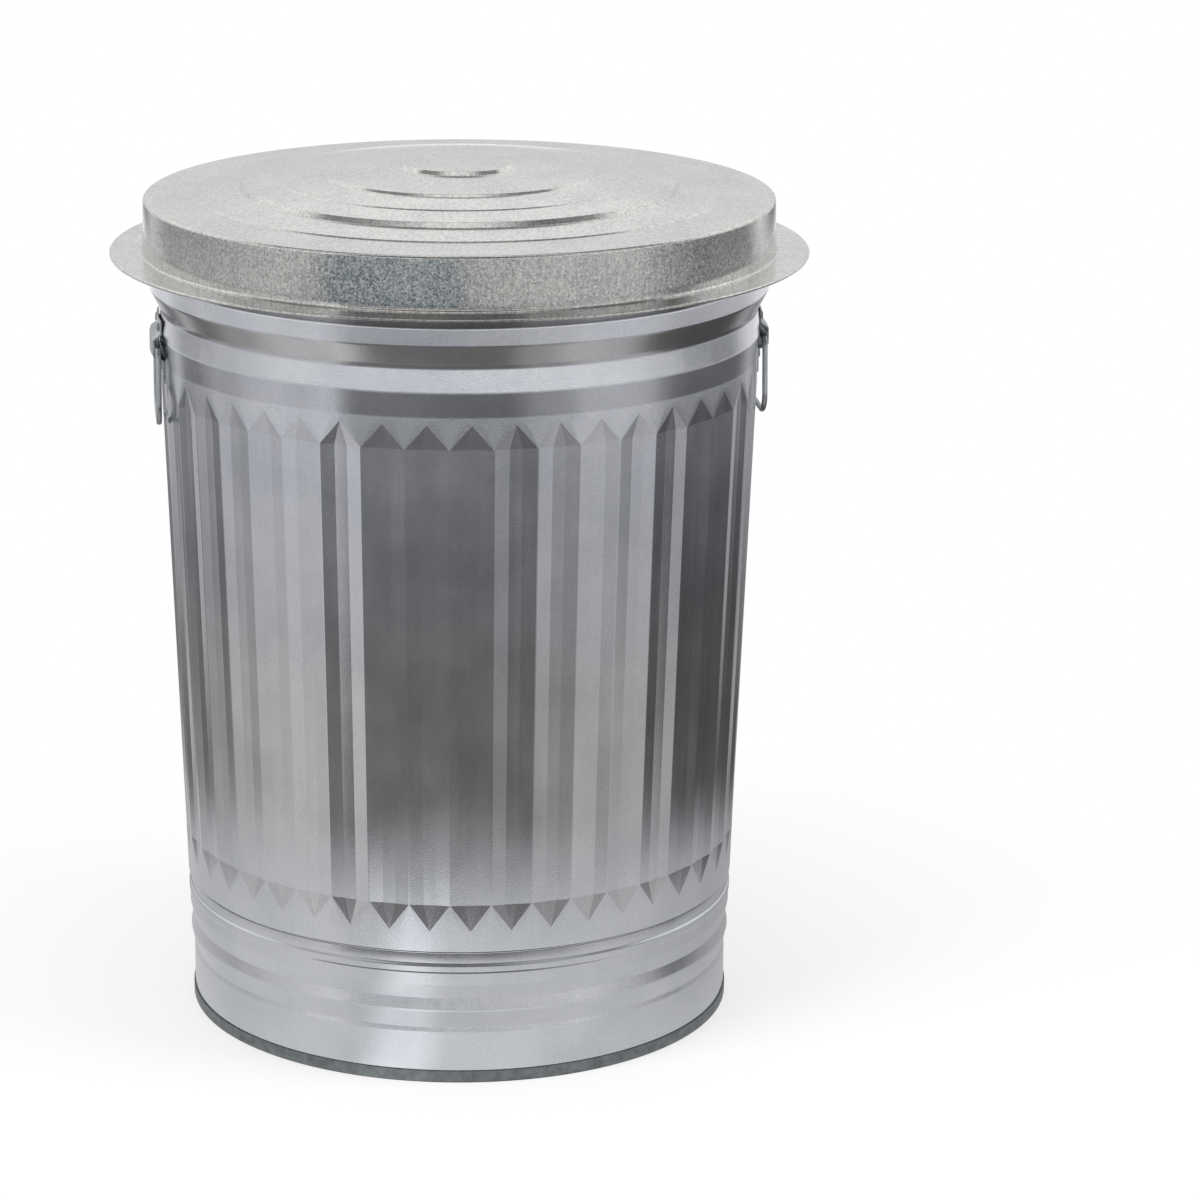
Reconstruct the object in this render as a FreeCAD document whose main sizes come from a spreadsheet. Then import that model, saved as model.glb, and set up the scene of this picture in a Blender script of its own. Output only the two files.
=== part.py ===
import FreeCAD, Part
import math
import os

import Sketcher

# Galvanised steel trash can with a lift-off lid and two drop handles.
# Millimetres, +Z up. The origin is on the can's axis, on the ground. The handles are at +X and -X.
# Every sheet part is one outline of its outer face, given the sheet's thickness and turned about the
# axis, as it is spun and swaged on the real can. The wall's flutes are pressed in between two levels.

SIZES = [
    # alias, value, meaning
    ("sheet", 0.8, "sheet of the wall, the hoop and the lid"),
    ("pan_sheet", 1.0, "heavier sheet of the bottom"),
    ("seam_gap", 0.1, "play between the layers of the bottom seam"),
    ("lid_play", 0.3, "gap between the lid and the rim that it rests on"),
    ("lid_plane", 702.7, "height of the lid's outer ring over the ground"),
    ("drum_depth", 44.5, "height of the lid's upright side"),
    ("drum_out", 12.8, "lid side, at its upper edge, out over the wall"),
    ("drum_flare", 1.4, "lid side, at the brim, out over its upper edge"),
    ("drum_top_bend", 2.4, "bend between the lid's top and side"),
    ("drum_foot_bend", 2.0, "bend between the lid's side and brim"),
    ("brim_width", 27.3, "brim of the lid, from the lid's side to its outer edge"),
    ("hem_height", 2.4, "folded edge of the brim"),
    ("hem_roundness", 0.48, "bends of that edge, as a share of its height"),
    ("hem_return", 7.0, "length of the fold under the brim"),
    ("boss_radius", 47.0, "flat boss in the middle of the lid"),
    ("boss_rise", 27.0, "boss over the lid's outer ring"),
    ("boss_step", 3.0, "drop at the boss's edge"),
    ("inner_ring_radius", 114.0, "inner swaged ring of the lid"),
    ("inner_ring_rise", 20.5, "inner ring over the outer ring"),
    ("inner_ring_step", 2.0, "drop at the inner ring"),
    ("inner_ring_run", 2.4, "width of the inner swaged step"),
    ("crease_radius", 150.0, "fine crease between the two swaged rings"),
    ("crease_rise", 14.8, "crease over the outer ring"),
    ("crease_step", 0.9, "drop at the crease"),
    ("outer_ring_radius", 180.0, "outer swaged ring of the lid"),
    ("outer_ring_rise", 10.4, "outer swaged ring over the outer ring"),
    ("outer_ring_step", 3.8, "drop at the outer swaged ring"),
    ("edge_crease_radius", 218.0, "fine crease where the dome starts"),
    ("edge_crease_rise", 2.6, "start of the dome over the outer ring"),
    ("edge_crease_step", 1.1, "drop at the start of the dome"),
    ("ring_run", 4.0, "width of the boss's edge and of the outer swaged step"),
    ("edge_land", 8.0, "level land inside the lid's upper edge"),
    ("crease_run", 2.0, "width of a fine crease"),
    ("ring_bend", 1.6, "bends of the swaged steps"),
    ("crease_bend", 1.0, "bends of the fine creases"),
    ("rim_wire_radius", 2.0, "wire that the rim is curled round"),
    ("curl_play", 0.25, "play of the wire in the curl"),
    ("curl_roundness", 0.95, "bends of the curl, as a share of its inner radius"),
    ("rim_side_play", 1.2, "gap between the rim and the lid's side"),
    ("shoulder_drop", 73.5, "foot of the upright shoulder, under the lid's outer ring"),
    ("shoulder_out", 9.0, "shoulder, out over the wall"),
    ("shoulder_land", 14.5, "height of the upright shoulder"),
    ("collar_rise", 9.0, "start of the collar inside the lid, over the shoulder"),
    ("neck_drop", 18.0, "neck, under the shoulder"),
    ("neck_out", 0.4, "neck, out over the wall"),
    ("bead_drop", 19.5, "crest of the bead, under the neck"),
    ("bead_out", 1.9, "crest of the bead, out over the wall"),
    ("bead_half", 5.5, "foot of the bead, under its crest"),
    ("neck_bend", 9.0, "bend of the neck"),
    ("bead_bend", 6.0, "bends of the bead"),
    ("shoulder_bend", 5.0, "bends of the shoulder and the collar"),
    ("wall_top_radius", 251.0, "wall, above the flutes"),
    ("wall_taper", 15.8, "wall just above the hoop, in from the wall above the flutes"),
    ("wall_step_rise", 2.7, "step of the wall into the hoop, over the hoop's upper edge"),
    ("step_height", 1.4, "height of that step"),
    ("step_bend", 0.7, "bends of that step"),
    ("flute_count", 44, "flutes round the wall"),
    ("flute_depth", 1.7, "depth of a flute's floor under its ridges"),
    ("flute_land", 1.0, "width of the ridge between two flutes"),
    ("flute_floor_share", 0.30, "width of a flute's floor, as a share of the flute"),
    ("flute_turn", 5.05, "degrees from +X to the middle of the first flute"),
    ("flute_head_drop", 42.5, "upper end of the full flute, under the bead's foot"),
    ("flute_foot_rise", 40.7, "lower end of the full flute, over the wall's step"),
    ("flute_head_point", 20.0, "length of the upper point"),
    ("flute_foot_point", 22.5, "length of the lower point"),
    ("plain_margin", 12.0, "plain wall kept past a flute's point"),
    ("hoop_top", 113.3, "upper edge of the hoop"),
    ("hoop_collar_out", 2.1, "plain collar of the hoop, out over its plain foot"),
    ("hoop_collar_height", 8.1, "height of that collar"),
    ("hoop_ridge_height", 8.4, "height of the ridge under the collar"),
    ("hoop_ridge_out", 3.9, "that ridge, out over the plain foot"),
    ("hoop_swell_out", 3.1, "upper swage, out over the plain foot"),
    ("hoop_swell_height", 9.8, "height of the upper swage"),
    ("hoop_groove_out", 0.5, "groove between the swages, out over the plain foot"),
    ("hoop_groove_drop", 12.5, "bottom of that groove, under the upper swage"),
    ("hoop_groove_rise", 9.7, "bottom of that groove, over the lower swage"),
    ("hoop_second_out", 2.4, "lower swage, out over the plain foot"),
    ("hoop_second_height", 1.8, "height of the lower swage"),
    ("hoop_valley_in", 0.8, "groove under the lower swage, in from the plain foot"),
    ("hoop_valley_drop", 14.7, "bottom of that groove, under the lower swage"),
    ("hoop_valley_rise", 5.6, "bottom of that groove, over the plain foot"),
    ("hoop_inset", 4.2, "plain foot of the hoop, in from the wall just above the hoop"),
    ("hoop_bend", 1.2, "bends of the hoop"),
    ("chime_height", 10.3, "height of the seam ring that the can stands on"),
    ("chime_bend", 1.4, "outer bends of that ring"),
    ("floor_height", 16.0, "top of the can's floor over the ground"),
    ("floor_bend", 5.0, "bend between the floor and its upright edge"),
    ("plate_sheet", 1.2, "sheet of a handle plate"),
    ("plate_width", 60.0, "width of a handle plate"),
    ("plate_tail", 19.0, "plate under its channel"),
    ("plate_head", 13.5, "upper edge of the plate, over the bead's crest"),
    ("channel_height", 23.5, "height of the plate's channel"),
    ("channel_top_rise", 8.0, "upper edge of the channel, over the bead's foot"),
    ("channel_slope", 4.5, "height of the channel's upper and lower slopes"),
    ("channel_depth", 8.2, "inside of the channel over the wall"),
    ("plate_bend", 1.4, "bends of the plate"),
    ("plate_gap", 0.05, "play between the plate and the wall"),
    ("bail_wire_radius", 2.25, "wire of a drop handle"),
    ("bail_pivot_out", 3.4, "axis of the drop handle over the wall"),
    ("bail_drop", 64.0, "drop handle, from its axis to its lower bar"),
    ("bail_top_width", 74.0, "drop handle, across its axis end"),
    ("bail_foot_width", 86.0, "drop handle, across its lower corners"),
    ("bail_top_bend", 7.0, "upper bends of the drop handle"),
    ("bail_foot_bend", 17.0, "lower bends of the drop handle"),
    ("rivet_radius", 2.0, "shank of a rivet"),
    ("rivet_head_radius", 3.5, "head of a rivet"),
    ("rivet_head_height", 1.6, "height of a rivet's head"),
    ("rivet_head_bend", 1.4, "rounding of that head"),
    ("rivet_spacing", 42.0, "rivets of a pair, centre to centre along the wall"),
    ("rivet_edge", 14.4, "lower rivets, over the plate's lower edge"),
    ("rivet_rise", 7.0, "upper rivets, over the bead's crest"),
    ("rivet_bead_seat", 1.0, "inner head of an upper rivet, off the crest of the bead"),
    ("rivet_play", 0.08, "play of a rivet in its holes and of a lower rivet's inner head"),
]

Vector = FreeCAD.Vector
UP = Vector(0, 0, 1)
TURN = 360.0
SIDES = {"right": 0.0, "left": TURN / 2}
FACET_REACH = 1.6  # a flute's facets run this share of their width from the root, clear of the wall
POINT_OVERRUN = 1.3  # and its points run this share of their length from the floor
BACKING_DEPTHS = 3  # depth, in flute depths, of the stock that the pressed sheet is cut from
SIDE_TOLERANCE = 1e-4  # radians, for telling the side faces of one bay of the wall

doc = FreeCAD.newDocument("trash_can")
sheet = doc.addObject("Spreadsheet::Sheet", "Sizes")
for row, (alias, value, meaning) in enumerate(SIZES, start=1):
    sheet.set(f"A{row}", alias)
    sheet.set(f"B{row}", str(value))
    sheet.set(f"C{row}", meaning)
    sheet.setAlias(f"B{row}", alias)
doc.recompute()


class Size:
    """A number together with the spreadsheet expression that gives it."""

    def __init__(self, value, text):
        self.value = value
        self.text = text

    @staticmethod
    def of(other):
        return other if isinstance(other, Size) else Size(float(other), repr(float(other)))

    def _join(self, other, sign, value):
        return Size(value, f"({self.text} {sign} {Size.of(other).text})")

    def __add__(self, other):
        return self._join(other, "+", self.value + Size.of(other).value)

    def __sub__(self, other):
        return self._join(other, "-", self.value - Size.of(other).value)

    def __mul__(self, other):
        return self._join(other, "*", self.value * Size.of(other).value)

    def __truediv__(self, other):
        return self._join(other, "/", self.value / Size.of(other).value)

    def __neg__(self):
        return Size(-self.value, f"(-1 * {self.text})")


def size(alias):
    """The driving dimension of this alias, read from the sheet."""
    return Size(float(sheet.get(alias)), f"Sizes.{alias}")


def bind(thing, prop, value):
    """Ties a property to the expression of a size."""
    thing.setExpression(prop, Size.of(value).text)


def label(thing, name):
    """Names a sub-part, which also names its file."""
    thing.Label = name
    return thing


# ---------------------------------------------------------------------------------------------
# Outlines and turned sheet


def outline(name, corners, closed=False):
    """A sketch in the XZ plane. A corner is (radius, height) or (radius, height, bend)."""
    sketch = doc.addObject("Sketcher::SketchObject", name)
    sketch.Placement = FreeCAD.Placement(Vector(), FreeCAD.Rotation(Vector(1, 0, 0), 90))
    points = [(Size.of(corner[0]), Size.of(corner[1])) for corner in corners]
    spots = [Vector(x.value, z.value, 0) for x, z in points]
    ends = spots[1:] + spots[:1] if closed else spots[1:]
    lines = [sketch.addGeometry(Part.LineSegment(start, end)) for start, end in zip(spots, ends)]
    followers = lines[1:] + lines[:1] if closed else lines[1:]
    for line, follower in zip(lines, followers):
        sketch.addConstraint(Sketcher.Constraint("Coincident", line, 2, follower, 1))
    for index, (x, z) in enumerate(points):
        line, end = (lines[index], 1) if index < len(lines) else (lines[-1], 2)
        if x.value == 0.0:
            sketch.addConstraint(Sketcher.Constraint("PointOnObject", line, end, -2))
        else:
            number = sketch.addConstraint(Sketcher.Constraint("DistanceX", -1, 1, line, end, x.value))
            bind(sketch, f"Constraints[{number}]", x)
        number = sketch.addConstraint(Sketcher.Constraint("DistanceY", -1, 1, line, end, z.value))
        bind(sketch, f"Constraints[{number}]", z)
    for index, corner in enumerate(corners):
        if len(corner) < 3:
            continue
        bend = Size.of(corner[2])
        sketch.fillet(lines[index - 1], 2, bend.value, True, True)
        arc = sketch.GeometryCount - 2
        number = sketch.addConstraint(Sketcher.Constraint("Radius", arc, bend.value))
        bind(sketch, f"Constraints[{number}]", bend)
    return sketch


def sheet_section(name, corners, thickness):
    """The cut face of a bent sheet: its outline follows the outer face from the top or middle out."""
    section = doc.addObject("Part::Offset2D", f"{name}_section")
    section.Source = outline(f"{name}_outline", corners)
    section.Mode = "Skin"
    section.Join = "Arc"
    section.Fill = True
    bind(section, "Value", -thickness)
    return section


def turned(name, section, angle=TURN):
    """A section turned about the can's axis."""
    part = doc.addObject("Part::Revolution", name)
    part.Source = section
    part.Axis = UP
    part.Solid = True
    bind(part, "Angle", angle)
    return part


def boolean(kind, name, base, tool):
    """Part::Cut or Part::Common of two objects."""
    part = doc.addObject(kind, name)
    part.Base = base
    part.Tool = tool
    part.Refine = False
    return part


# ---------------------------------------------------------------------------------------------
# Shared levels and radii

sheet_wall = size("sheet")
wall_top_radius = size("wall_top_radius")
wall_foot_radius = wall_top_radius - size("wall_taper")
drum_top_radius = wall_top_radius + size("drum_out")
drum_foot_radius = drum_top_radius + size("drum_flare")
brim_radius = drum_foot_radius + size("brim_width")
shoulder_radius = wall_top_radius + size("shoulder_out")
neck_radius = wall_top_radius + size("neck_out")
bead_radius = wall_top_radius + size("bead_out")

lid_plane = size("lid_plane")
shoulder_height = lid_plane - size("shoulder_drop")
shoulder_top = shoulder_height + size("shoulder_land")
collar_foot = shoulder_top + size("collar_rise")
neck_height = shoulder_height - size("neck_drop")
bead_height = neck_height - size("bead_drop")
bead_foot = bead_height - size("bead_half")

curl_radius = size("rim_wire_radius") + size("curl_play")
curl_bend = curl_radius * size("curl_roundness")
rim_radius = drum_top_radius - sheet_wall - size("rim_side_play")
rim_top = lid_plane - sheet_wall - size("lid_play")
wire_centre_radius = rim_radius - sheet_wall - curl_radius
wire_centre_height = rim_top - sheet_wall - curl_radius
collar_radius = wire_centre_radius - curl_radius

hoop_top = size("hoop_top")
hoop_ridge_top = hoop_top - size("hoop_collar_height")
hoop_ridge_foot = hoop_ridge_top - size("hoop_ridge_height")
hoop_swell_foot = hoop_ridge_foot - size("hoop_swell_height")
hoop_groove_height = hoop_swell_foot - size("hoop_groove_drop")
hoop_second_top = hoop_groove_height - size("hoop_groove_rise")
hoop_second_foot = hoop_second_top - size("hoop_second_height")
hoop_valley_height = hoop_second_foot - size("hoop_valley_drop")
hoop_plain_top = hoop_valley_height - size("hoop_valley_rise")
hoop_plain_radius = wall_foot_radius - size("hoop_inset")
hoop_collar_radius = hoop_plain_radius + size("hoop_collar_out")
hoop_ridge_radius = hoop_plain_radius + size("hoop_ridge_out")

seam_gap = size("seam_gap")
skirt_radius = hoop_plain_radius - sheet_wall - seam_gap
skirt_top_radius = hoop_collar_radius - sheet_wall - seam_gap
skirt_valley_radius = skirt_radius - size("hoop_valley_in")
pan_sheet = size("pan_sheet")
pan_radius = skirt_radius - sheet_wall - seam_gap
seam_floor = pan_sheet + seam_gap * 2

wall_foot = hoop_top + size("wall_step_rise")
flute_head = bead_foot - size("flute_head_drop")
flute_foot = wall_foot + size("flute_foot_rise")
head_cut = flute_head + size("flute_head_point") + size("plain_margin")
foot_cut = flute_foot - size("flute_foot_point") - size("plain_margin")
wall_slope = size("wall_taper") / (flute_head - wall_foot)
foot_cut_radius = wall_foot_radius + wall_slope * (foot_cut - wall_foot)
flute_pitch = Size(TURN, "360") / size("flute_count")

channel_top = bead_foot + size("channel_top_rise")
channel_foot = channel_top - size("channel_height")
channel_middle = (channel_foot + channel_top) / 2
plate_top = bead_height + size("plate_head")
plate_foot = channel_foot - size("plate_tail")
pivot_radius = wall_top_radius + size("bail_pivot_out")


# ---------------------------------------------------------------------------------------------
# Body wall: curled rim, collar, flare, neck, bead, fluted wall and the skirt inside the hoop


def body_ends():
    """The plain upper and lower parts of the wall."""
    upper = sheet_section("wall_upper", [
        (wire_centre_radius, wire_centre_height - curl_radius),
        (wire_centre_radius + curl_radius, wire_centre_height - curl_radius, curl_bend),
        (wire_centre_radius + curl_radius, wire_centre_height + curl_radius, curl_bend),
        (collar_radius, wire_centre_height + curl_radius, curl_bend),
        (collar_radius, collar_foot, size("shoulder_bend")),
        (shoulder_radius, shoulder_top, size("shoulder_bend")),
        (shoulder_radius, shoulder_height, size("shoulder_bend")),
        (neck_radius, neck_height, size("neck_bend")),
        (bead_radius, bead_height, size("bead_bend")),
        (wall_top_radius, bead_foot, size("bead_bend")),
        (wall_top_radius, head_cut),
    ], sheet_wall)
    step_foot = wall_foot - size("step_height")
    lower = sheet_section("wall_lower", [
        (foot_cut_radius, foot_cut),
        (wall_foot_radius, wall_foot, size("step_bend")),
        (skirt_top_radius, step_foot, size("step_bend")),
        (skirt_valley_radius, hoop_valley_height, size("hoop_bend")),
        (skirt_radius, hoop_plain_top - size("hoop_valley_rise"), size("hoop_bend")),
        (skirt_radius, seam_floor),
    ], sheet_wall)
    return turned("wall_upper", upper), turned("wall_lower", lower)


def flute_tool(inward):
    """A flute's hollow: flat facets between two levels, drawn to a point at each end."""
    half_pitch = math.radians(flute_pitch.value / 2)
    ridge = half_pitch - size("flute_land").value / 2 / wall_top_radius.value
    floor = half_pitch * size("flute_floor_share").value
    root_share = 1 - size("flute_depth").value / wall_top_radius.value

    def section(radius, height):
        corners = []
        for side in (-1, 1):
            crest = Vector(radius * math.cos(ridge), side * radius * math.sin(ridge), height)
            low = radius * root_share
            root = Vector(low * math.cos(floor), side * low * math.sin(floor), height)
            corners.append((root + (crest - root) * FACET_REACH, root))
        (outer_left, root_left), (outer_right, root_right) = corners
        return [outer_left, root_left, root_right, outer_right]

    def tip(radius, height, length):
        middle = Vector(radius * root_share * math.cos(floor), 0, height)
        end = Vector(radius, 0, height + length)
        return middle + (end - middle) * POINT_OVERRUN

    def flat(*corners):
        return Part.Face(Part.makePolygon([*corners, corners[0]]))

    foot_radius = (wall_foot_radius + wall_slope * (flute_foot - wall_foot)).value
    lower = section(foot_radius, flute_foot.value)
    upper = section(wall_top_radius.value, flute_head.value)
    lower_tip = tip(foot_radius, flute_foot.value, -size("flute_foot_point").value)
    upper_tip = tip(wall_top_radius.value, flute_head.value, size("flute_head_point").value)
    faces = []
    for index in range(4):
        after = (index + 1) % 4
        faces.append(flat(lower[index], lower[after], upper[after], upper[index]))
        faces.append(flat(lower_tip, lower[index], lower[after]))
        faces.append(flat(upper_tip, upper[index], upper[after]))
    tool = Part.Solid(Part.Shell(faces))
    if tool.Volume < 0:
        tool.reverse()
    tool.translate(Vector(-inward, 0, 0))
    return tool


def fluted_ring():
    """The wall between the plain ends: one pressed bay, repeated round the axis and joined."""
    thickness = sheet_wall.value
    pitch = flute_pitch.value
    section = sheet_section("wall_bay", [
        (wall_top_radius, head_cut),
        (wall_top_radius, flute_head),
        (foot_cut_radius, foot_cut),
    ], sheet_wall)
    backing_radius = foot_cut_radius - size("flute_depth") * BACKING_DEPTHS
    form = outline("wall_bay_form", [
        (wall_top_radius, head_cut),
        (wall_top_radius, flute_head),
        (foot_cut_radius, foot_cut),
        (backing_radius, foot_cut),
        (backing_radius, head_cut),
    ], closed=True)
    doc.recompute()
    half_turn = FreeCAD.Placement(Vector(), FreeCAD.Rotation(UP, -pitch / 2))
    plain = section.Shape.copy().revolve(Vector(), UP, pitch)
    solid = Part.Face(form.Shape.Wires[0]).revolve(Vector(), UP, pitch)
    for piece in (plain, solid):
        piece.Placement = half_turn
    backing = solid.common(flute_tool(thickness))
    bay = plain.fuse(backing).cut(flute_tool(0.0))

    side_angle = math.radians(pitch / 2)

    def is_side(face):
        centre = face.CenterOfMass
        return abs(abs(math.atan2(centre.y, centre.x)) - side_angle) < SIDE_TOLERANCE

    skin = [face for face in bay.Faces if not is_side(face)]
    faces = []
    for index in range(round(size("flute_count").value)):
        for face in skin:
            copy = face.copy()
            copy.rotate(Vector(), UP, size("flute_turn").value + index * pitch)
            faces.append(copy)
    shell = Part.Shell(faces)
    shell.sewShape()
    ring = doc.addObject("Part::Feature", "wall_fluted")
    ring.Shape = Part.Solid(shell)
    return ring


def rivet_rows():
    """The two rows of rivets: height, radius of the wall there, inner head off the wall."""
    return [
        (plate_foot + size("rivet_edge"), wall_top_radius, size("rivet_play")),
        (bead_height + size("rivet_rise"), bead_radius, size("rivet_bead_seat")),
    ]


def along_radius(place):
    """Lays a part made along Z outwards, level, at the left (-1) or right (1) rivet of a pair."""
    across = math.degrees(size("rivet_spacing").value / 2 / wall_top_radius.value)
    return FreeCAD.Rotation(UP, place * across) * FreeCAD.Rotation(Vector(0, 1, 0), 90)


def rivet_bores(name):
    """Bars through every rivet place, pointing outwards, on both sides of the can."""
    radius = size("rivet_radius") + size("rivet_play")
    start = wall_top_radius - size("plate_width")
    end = shoulder_radius
    profile = outline(f"{name}_outline", [
        (0, start),
        (radius, start),
        (radius, end),
        (0, end),
    ], closed=True)
    bars = []
    for height, _, _ in rivet_rows():
        for place in (-1, 1):
            for side in SIDES.values():
                bar = turned(f"{name}_{len(bars)}", profile)
                bar.Placement.Rotation = FreeCAD.Rotation(UP, side) * along_radius(place)
                bind(bar, "Placement.Base.z", height)
                bars.append(bar)
    group = doc.addObject("Part::Compound", name)
    group.Links = bars
    return group


def body_shell():
    upper, lower = body_ends()
    whole = doc.addObject("Part::MultiFuse", "wall_whole")
    whole.Shapes = [upper, fluted_ring(), lower]
    bores = rivet_bores("wall_bores")
    return label(boolean("Part::Cut", "body_wall", whole, bores), "body_shell")


def rim_wire():
    wire = doc.addObject("Part::Torus", "rim_ring")
    bind(wire, "Radius1", wire_centre_radius)
    bind(wire, "Radius2", size("rim_wire_radius"))
    bind(wire, "Placement.Base.z", wire_centre_height)
    return label(wire, "rim_wire")


# ---------------------------------------------------------------------------------------------
# Base: swaged hoop and the bottom, whose edge is folded up round the hoop and the wall


def base_hoop():
    bend = size("hoop_bend")
    ridge_run = hoop_ridge_radius - hoop_collar_radius
    section = sheet_section("hoop", [
        (hoop_collar_radius, hoop_top),
        (hoop_collar_radius, hoop_ridge_top, bend),
        (hoop_ridge_radius, hoop_ridge_top - ridge_run, bend),
        (hoop_ridge_radius, hoop_ridge_foot + ridge_run, bend),
        (hoop_plain_radius + size("hoop_swell_out"), hoop_ridge_foot, bend),
        (hoop_plain_radius + size("hoop_swell_out"), hoop_swell_foot, bend),
        (hoop_plain_radius + size("hoop_groove_out"), hoop_groove_height, bend),
        (hoop_plain_radius + size("hoop_second_out"), hoop_second_top, bend),
        (hoop_plain_radius + size("hoop_second_out"), hoop_second_foot, bend),
        (hoop_plain_radius - size("hoop_valley_in"), hoop_valley_height, bend),
        (hoop_plain_radius, hoop_plain_top, bend),
        (hoop_plain_radius, seam_floor),
    ], sheet_wall)
    return label(turned("hoop", section), "base_hoop")


def bottom_pan():
    section = sheet_section("pan", [
        (0, size("floor_height")),
        (pan_radius, size("floor_height"), size("floor_bend")),
        (pan_radius, pan_sheet, size("chime_bend") - pan_sheet),
        (hoop_plain_radius + seam_gap, pan_sheet, size("chime_bend") - pan_sheet),
        (hoop_plain_radius + seam_gap, size("chime_height")),
    ], pan_sheet)
    return label(turned("pan", section), "bottom_pan")


# ---------------------------------------------------------------------------------------------
# Lid: stepped dome, upright side and flat brim with a folded edge, drawn from one sheet


def lid_shell():
    ring = size("ring_bend")
    crease = size("crease_bend")
    corners = [(0, lid_plane + size("boss_rise"))]
    steps = [
        ("boss", size("ring_run"), ring),
        ("inner_ring", size("inner_ring_run"), ring),
        ("crease", size("crease_run"), crease),
        ("outer_ring", size("ring_run"), ring),
        ("edge_crease", size("crease_run"), crease),
    ]
    for name, run, bend in steps:
        top = lid_plane + size(f"{name}_rise")
        corners.append((size(f"{name}_radius"), top, bend))
        corners.append((size(f"{name}_radius") + run, top - size(f"{name}_step"), bend))
    brim_plane = lid_plane - size("drum_depth")
    hem_foot = brim_plane - size("hem_height")
    hem_bend = size("hem_height") * size("hem_roundness")
    corners += [
        (drum_top_radius - size("edge_land"), lid_plane, ring),
        (drum_top_radius, lid_plane, size("drum_top_bend")),
        (drum_foot_radius, brim_plane, size("drum_foot_bend")),
        (brim_radius, brim_plane, hem_bend),
        (brim_radius, hem_foot, hem_bend),
        (brim_radius - size("hem_return"), hem_foot),
    ]
    return label(turned("lid", sheet_section("lid", corners, sheet_wall)), "lid_shell")


# ---------------------------------------------------------------------------------------------
# Handles: a riveted plate with a channel, and a wire drop handle that turns in it



def put_on_side(thing, side):
    """Turns a part that is made at +X to its side of the can."""
    thing.Placement = FreeCAD.Placement(Vector(), FreeCAD.Rotation(UP, SIDES[side])) * thing.Placement
    return label(thing, f"{thing.Label}_{side}")


def handle_plate(side):
    plate = size("plate_sheet")
    seat = wall_top_radius + size("plate_gap") + plate
    bead_seat = bead_radius + size("plate_gap") + plate
    crown = wall_top_radius + size("channel_depth") + plate
    bend = size("plate_bend") + plate
    section = sheet_section(f"plate_{side}", [
        (bead_seat, plate_top),
        (bead_seat, channel_top, size("plate_bend")),
        (crown, channel_top - size("channel_slope"), bend),
        (crown, channel_foot + size("channel_slope"), bend),
        (seat, channel_foot, size("plate_bend")),
        (seat, plate_foot),
    ], plate)
    span = size("plate_width") / wall_top_radius * (TURN / 2 / math.pi)
    strip = turned(f"plate_{side}_strip", section, span)
    strip.Placement.Rotation = FreeCAD.Rotation(UP, -span.value / 2)
    bores = rivet_bores(f"plate_{side}_bores")
    plate_part = boolean("Part::Cut", f"plate_{side}", strip, bores)
    plate_part.Label = "handle_plate"
    return put_on_side(plate_part, side)


def plate_rivets(side):
    """Four rivets: a shank through the wall and the plate, with a rounded head at each end."""
    shank = size("rivet_radius")
    rim = size("rivet_head_radius")
    head = size("rivet_head_height")
    bend = size("rivet_head_bend")
    rivets = []
    for row, (height, wall_radius, off_wall) in enumerate(rivet_rows()):
        inner = wall_radius - sheet_wall - off_wall
        outer = wall_radius + size("plate_gap") + size("plate_sheet")
        profile = outline(f"rivet_{side}_{row}_outline", [
            (0, inner - head),
            (rim, inner - head, bend),
            (rim, inner),
            (shank, inner),
            (shank, outer),
            (rim, outer),
            (rim, outer + head, bend),
            (0, outer + head),
        ], closed=True)
        for place in (-1, 1):
            rivet = turned(f"rivet_{side}_{len(rivets)}", profile)
            rivet.Placement.Rotation = along_radius(place)
            bind(rivet, "Placement.Base.z", height)
            rivets.append(rivet)
    group = doc.addObject("Part::Compound", f"rivets_{side}")
    group.Links = rivets
    group.Label = "plate_rivets"
    return put_on_side(group, side)


def bail(side):
    """A closed wire loop: a straight bar in the channel, two legs and a rounded lower bar."""
    half_top = size("bail_top_width") / 2
    half_foot = size("bail_foot_width") / 2
    lower = channel_middle - size("bail_drop")
    loop = outline(f"bail_{side}_path", [
        (-half_top, channel_middle, size("bail_top_bend")),
        (half_top, channel_middle, size("bail_top_bend")),
        (half_foot, lower, size("bail_foot_bend")),
        (-half_foot, lower, size("bail_foot_bend")),
    ], closed=True)
    loop.Placement.Rotation = FreeCAD.Rotation(UP, 90) * loop.Placement.Rotation
    bind(loop, "Placement.Base.x", pivot_radius)
    ring = doc.addObject("Part::Circle", f"bail_{side}_section")
    bind(ring, "Radius", size("bail_wire_radius"))
    ring.Placement.Rotation = FreeCAD.Rotation(Vector(1, 0, 0), 90)
    bind(ring, "Placement.Base.x", pivot_radius)
    bind(ring, "Placement.Base.z", channel_middle)
    doc.recompute()
    wire = doc.addObject("Part::Sweep", f"bail_{side}")
    wire.Sections = [ring]
    wire.Spine = (loop, [f"Edge{number}" for number in range(1, len(loop.Shape.Edges) + 1)])
    wire.Solid = True
    wire.Frenet = False
    wire.Label = "bail"
    return put_on_side(wire, side)


# ---------------------------------------------------------------------------------------------
# The whole can

parts = [body_shell(), rim_wire(), base_hoop(), bottom_pan(), lid_shell()]
for side_name in SIDES:
    parts.append(handle_plate(side_name))
    parts.append(plate_rivets(side_name))
    parts.append(bail(side_name))
doc.recompute()

for thing in doc.Objects:
    if "Invalid" in thing.State or "Error" in thing.State:
        raise RuntimeError(f"{thing.Name} failed: {thing.State}")
for part in parts:
    shape = part.Shape
    if shape.isNull() or not shape.isValid() or not shape.Solids:
        raise RuntimeError(f"{part.Label} has no valid solid")

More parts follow.
